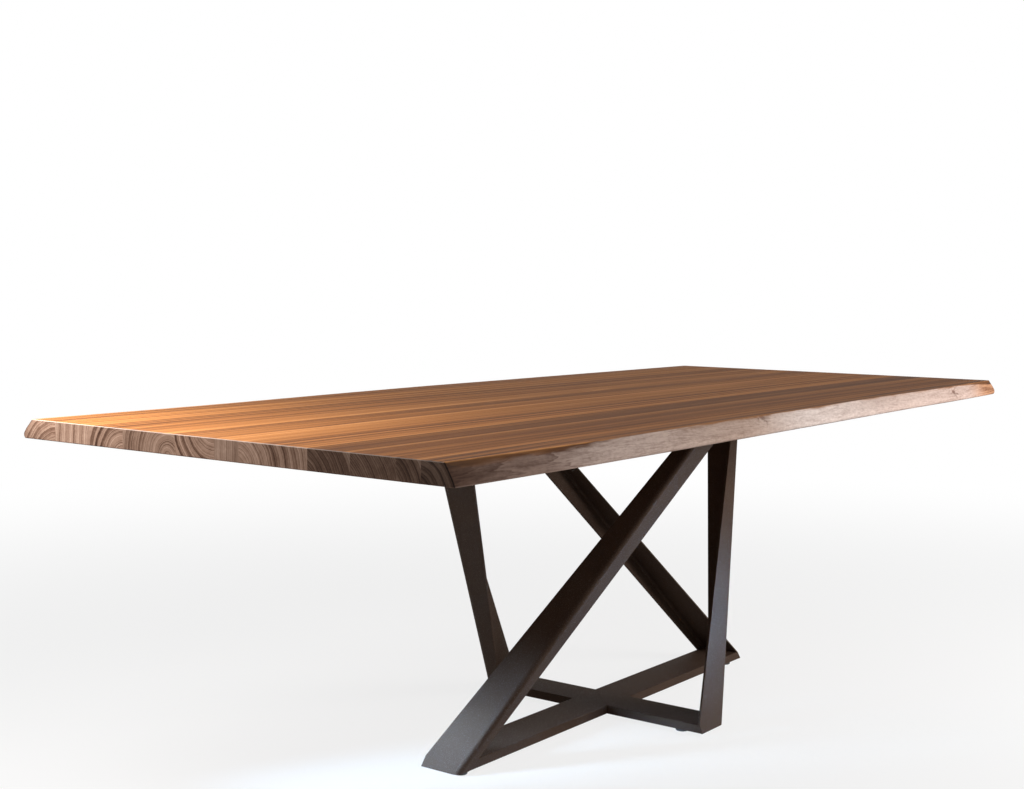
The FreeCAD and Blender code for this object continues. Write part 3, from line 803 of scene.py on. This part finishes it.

# %% [markdown]
# At the left end the edge was cut deep enough to reach the heartwood, so the colour changes along the edge.
# The pale patch beside the front edge's first knot is a painted highlight.
# Rings lie almost flat to this face, so they show as loose wavy contours, strongest near the two ends.
# The lower arris is darker in patches, except near the left end, where it is pale.
# Below the upper arris the edge turns warmer in patches, and the arris itself has an orange line: a painted
# highlight, strongest near the left end. The corner with the left end is almost black: painted shade on
# that eased corner.

# %% Tones of the edges
# The tone of the darker patches on the lower arris.
lower_arris_tone = (0.075, 0.040, 0.026)
warm_tone = (0.30, 0.130, 0.050)
heart_tone = (0.050, 0.025, 0.014)
upper_arris_highlight = (0.66, 0.290, 0.100)
sill_tone = (0.30, 0.205, 0.165)
# Painted shade for the corner between an edge and a sawn end.
corner_shade_tone = (0.016, 0.010, 0.008)
front_sap_and_highlight = [
    (0.0, (0.125, 0.068, 0.046)),
    (0.07, (0.29, 0.195, 0.155)),
    (0.18, (0.60, 0.470, 0.410)),
    (0.38, (0.52, 0.385, 0.318)),
    # A painted highlight: this pale stop brightens the front edge beside its first knot.
    (0.5, (0.72, 0.620, 0.575)),
    (0.72, (0.57, 0.450, 0.400)),
    (0.9, (0.52, 0.398, 0.350)),
    (0.98, (0.44, 0.230, 0.130)),
]
front_border = [(0.0, 0.72), (0.1, 0.80), (0.25, 1.0), (0.9, 1.0), (1.0, 0.75)]
back_sap = [(0.0, (0.50, 0.360, 0.290)), (0.4, (0.60, 0.470, 0.410)), (1.0, (0.56, 0.420, 0.360))]
back_border = [(0.0, 0.9), (0.3, 1.0), (0.7, 0.95), (1.0, 1.0)]


def deepened(tint):
    """The same wood where its late wood or a knot darkens it."""
    return [channel * share for channel, share in zip(tint, (0.36, 0.29, 0.265))]


print("tones along the front edge:", len(front_sap_and_highlight), "and along the back edge:", len(back_sap))

# %% [markdown]
# The finish of an edge is the board's own walnut, with the sapwood laid over its face.
# First come the marks: waves, contours, fibres and knots. They say how dark the sapwood is at a point.

# %% Marks on an edge
def edge_marks(spot, along, run, rise, pith, knots):
    """Waves of the grain, the fibres that can be felt, and how dark the sapwood is."""
    waves = cloud(spot, (4, 45, 45), 3.0, 0.6) - 0.5
    contours = ring_lines(from_pith(spot, pith) + waves * 0.014, 0.0035)
    grain = cloud(spot, (30, 500, 500), 3.0, 0.65) - 0.5
    mottle = cloud(spot, (90, 160, 160), 2.0, 0.6) - 0.5
    knot, cracks = knot_marks(along, rise, knots, waves)
    figured = 0.8 + (1 - step(run, 0.04, 0.3)) * 1.3 + step(run, 0.92, 0.97) * 2.4
    wild = (waves * 0.9 + contours * 0.5) * figured + grain * 1.3 + mottle * 0.8
    dark = step(wild + knot * 1.1 + cracks * 0.75, -0.55, 1.0)
    return waves, grain * 1.5 + mottle, dark


print("marks on an edge: waves, fibres, and how dark it is")

# %% [markdown]
# Then masks say where each tone lies. `run` goes from 0 at the left end to 1 at the right,
# and `rise` from 0 at the lower arris to 1 at the upper one.

# %% Sapwood on the edges
def live_finish(name, edge_tones, heart_border, knots):
    board = boards[name]
    material, shader, tree = new_finish(name.replace("_", " "))
    spot = place(tree)
    wood, rough, height = walnut_wood(tree, spot, name, board)
    along = parts(spot)[0]
    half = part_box(name)[1].x
    run = (along + half) / (2 * half)
    rise = tree.node("ShaderNodeAttribute", {"attribute_name": "rise"}, out="Fac")
    waves, fibres, dark = edge_marks(spot, along, run, rise, board["pith"], knots)
    deep_tones = [(stop, deepened(tint)) for stop, tint in edge_tones]
    # For the front edge these tones hold a painted highlight near the first knot.
    edge_colour = mix(dark, ramp(run, toned(edge_tones, 1)), ramp(run, toned(deep_tones, 1)))
    border = ramp(run, [(stop, grey(level)) for stop, level in heart_border])
    heart = step(rise + waves * 0.5 - border, -0.07, 0.07)
    face = step(rise, -0.03, 0.0) * (1 - step(rise, 0.995, 1.01)) * (1 - is_end(tree))
    near_left = 1 - step(run, 0.12, 0.35)
    sill = (1 - step(rise, 0.0, 0.09)) * (1 - is_end(tree))
    # Darker patches along the lower arris, away from the left end.
    lower_arris_dark = sill * step(waves, -0.2, 0.1) * (1 - near_left)
    warm = step(rise, 0.86, 0.98) * step(waves, -0.12, 0.12)
    edge_colour = mix(lower_arris_dark * 0.75, mix(warm * 0.6, edge_colour, colour(*warm_tone)), colour(*lower_arris_tone))
    wood = mix(face * heart * (0.75 - step(run, 0.0, 0.08) * 0.4), wood, colour(*heart_tone))
    # Painted highlight: an orange line along the upper arris, strongest near the left end.
    upper_highlight = step(rise, 0.945, 0.985) * (1 - step(rise, 1.05, 1.15)) * (1 - is_end(tree))
    wood = mix(upper_highlight * step(waves, -0.2, 0.0) * (0.2 + near_left * 0.6), wood, colour(*upper_arris_highlight))
    on_edge = face * (1 - heart)
    edged = mix(sill * near_left * 0.55, mix(on_edge, wood, edge_colour), colour(*sill_tone))
    # Painted shade: the corner between the edge and a sawn end is darkened almost to black.
    sideways, across, _ = parts(tree.node("ShaderNodeNewGeometry", out="Normal"))
    corner = step(abs(sideways) * abs(across), 0.1, 0.3)
    feed(
        shader,
        Base_Color=mix(corner * 0.9, edged, colour(*corner_shade_tone)),
        Roughness=rough + on_edge * 0.08,
        Normal=bump(height + fibres * on_edge, 0.3, 0.0004),
        Specular_IOR_Level=0.08,
    )
    return material


paint(front_edge, live_finish("front_live_edge_board", front_sap_and_highlight, front_border, front_knots))
paint(back_edge, live_finish("back_live_edge_board", back_sap, back_border, back_knots))
print("sapwood on", front_edge.name, "and", back_edge.name)

# %% [markdown]
# ## Glides and fixings
# The glides are moulded black plastic. Screws and washers are zinc plated, the inserts are brass.
# Plating is never even: fine noise varies its gloss, and makes it a little duller where it is darker.

# %% Plastic and plated metal
def plain_finish(name, base, rough, metal, grain):
    material, shader, tree = new_finish(name)
    speckle = cloud(place(tree), (grain, grain, grain), 2.0, 0.5)
    tinted = mix(speckle * 0.5, colour(*base), colour(*[channel * 0.6 for channel in base]))
    feed(
        shader,
        Base_Color=tinted,
        Roughness=speckle * 0.2 + (rough - 0.1),
        Normal=bump(speckle, 0.2, 0.0002),
        Metallic=metal,
    )
    return material


glide_arris, washer_arris = 0.0006, 0.0003
glide_finish = plain_finish("moulded plastic", (0.018, 0.018, 0.019), 0.55, 0.0, 700)
zinc_finish = plain_finish("zinc plate", (0.62, 0.63, 0.65), 0.34, 1.0, 420)
brass_finish = plain_finish("brass", (0.72, 0.5, 0.2), 0.32, 1.0, 420)
for name, piece in nodes.items():
    if name.startswith("glide_"):
        paint(piece, glide_finish)
        ease_edges(piece, glide_arris)
    elif name == "top_fixing_washers":
        paint(piece, zinc_finish)
        ease_edges(piece, washer_arris)
    elif name == "threaded_inserts":
        paint(piece, brass_finish)
print("glides, washers and inserts finished")

# %% [markdown]
# A screw is turned: rings of points round one axis, each with a radius and a height.
# The head is domed, with a six-sided hole for the key, so the inner rings follow a hexagon.
# Above the head the radius swings in and out once per turn of the thread.

# %% Rings of one screw
key_lip = 0.0002


def hexagon(turn):
    """Radius of a hexagon of width 2 in the direction of a turn."""
    return 1 / math.cos((turn + math.pi / 6) % (math.pi / 3) - math.pi / 6)


def screw_rings(head_radius, head_height, key_width, key_depth, shank_radius, length, pitch):
    """Rings of (radius, height, six-sided or not), from the bottom of the key hole to the tip."""
    key = key_width / 2
    rings = [
        (key * 0.5, key_depth, False),
        (key * 0.98, key_depth * 0.92, True),
        (key, key_lip, True),
        (key * 1.12, 0, False),
    ]
    for turn in (0, 25, 50, 70, 90):
        swing = math.radians(turn)
        radius = head_radius * (0.55 + 0.45 * math.sin(swing))
        rings.append((radius, head_height * 0.62 * (1 - math.cos(swing)), False))
    rings += [
        (head_radius, head_height * 0.94, False),
        (head_radius * 0.96, head_height, False),
        (shank_radius, head_height, False),
    ]
    for step_up in range(1, int(length / pitch * 2)):
        depth = 0.86 if step_up % 2 else 1.0
        rings.append((shank_radius * depth, head_height + step_up * pitch / 2, False))
    tip = head_height + length
    return rings + [(shank_radius * 0.82, tip - pitch * 0.2, False), (shank_radius * 0.7, tip, False)]


bolt_head_height, bolt_key, bolt_key_depth = 0.0044, 0.005, 0.0024
bolt_thread, bolt_pitch = 0.004, 0.00125
bolt_radius, bolt_length = 0.007, 0.030
bolt_head = (bolt_radius, bolt_head_height, bolt_key, bolt_key_depth)
print("rings in a bolt 30 mm long:", len(screw_rings(*bolt_head, bolt_thread, bolt_length, bolt_pitch)))

# %% [markdown]
# Every ring gets the same number of points, so the skin that joins the sections of a board fits here too.

# %% Turning one screw
ring_points = 24


def turn_screw(made, centre, rings):
    """Add one screw to a mesh, with the face of its head at the centre."""
    loops = []
    for radius, height, six_sided in rings:
        loop = []
        for i in range(ring_points):
            turn = 2 * math.pi * i / ring_points
            out = radius * (hexagon(turn) if six_sided else 1)
            point = centre + Vector((out * math.cos(turn), out * math.sin(turn), height))
            loop.append(made.verts.new(point))
        loops.append(loop)
    skin(made, loops)


print("points round a screw:", ring_points)

# %% [markdown]
# The model has all the screws of one kind in one node. Its loose parts say where each screw sits.
# They are found by walking from corner to corner along the edges.

# %% Finding the places of the screws
def islands(mesh):
    """Lowest and highest corner of each loose part of a mesh."""
    welded = bmesh.new()
    welded.from_mesh(mesh)
    bmesh.ops.remove_doubles(welded, verts=welded.verts, dist=weld_distance)
    waiting = set(welded.verts)
    boxes = []
    while waiting:
        seen = [waiting.pop()]
        for vertex in seen:
            near = [edge.other_vert(vertex) for edge in vertex.link_edges]
            fresh = [other for other in near if other in waiting]
            waiting.difference_update(fresh)
            seen.extend(fresh)
        low = Vector([min(vertex.co[axis] for vertex in seen) for axis in range(3)])
        high = Vector([max(vertex.co[axis] for vertex in seen) for axis in range(3)])
        boxes.append((low, high))
    welded.free()
    return sorted(boxes, key=lambda box: tuple(box[0]))


print("screws that hold the top:", len(islands(nodes["top_fixing_screws"].data)))

# %% [markdown]
# The new screws take those places. Each is as wide and as long as the model's screw.
# The stiffeners have wood screws, which are thinner than the bolts and have a coarser thread.

# %% Screws in the model's places
def screws(name, head_height, key, key_depth, thread, pitch):
    made = bmesh.new()
    boxes = islands(nodes[name].data)
    for low, high in boxes:
        centre = Vector(((low.x + high.x) / 2, (low.y + high.y) / 2, low.z))
        head_radius = (high.x - low.x) / 2
        length = high.z - low.z - head_height
        rings = screw_rings(head_radius, head_height, key, key_depth, thread, length, pitch)
        turn_screw(made, centre, rings)
    piece = new_piece(made, name, name.replace("_screws", "_turned_screws"))
    paint(piece, zinc_finish)
    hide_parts(name)
    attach(piece, "root")
    print(piece.name, "has", len(boxes), "screws")


for name in ("floor_joint_screws", "head_joint_screws", "top_fixing_screws"):
    screws(name, bolt_head_height, bolt_key, bolt_key_depth, bolt_thread, bolt_pitch)
wood_head_height, wood_key, wood_key_depth = 0.003, 0.0035, 0.0017
wood_thread, wood_pitch = 0.0025, 0.0018
screws("stiffener_screws", wood_head_height, wood_key, wood_key_depth, wood_thread, wood_pitch)

# %% [markdown]
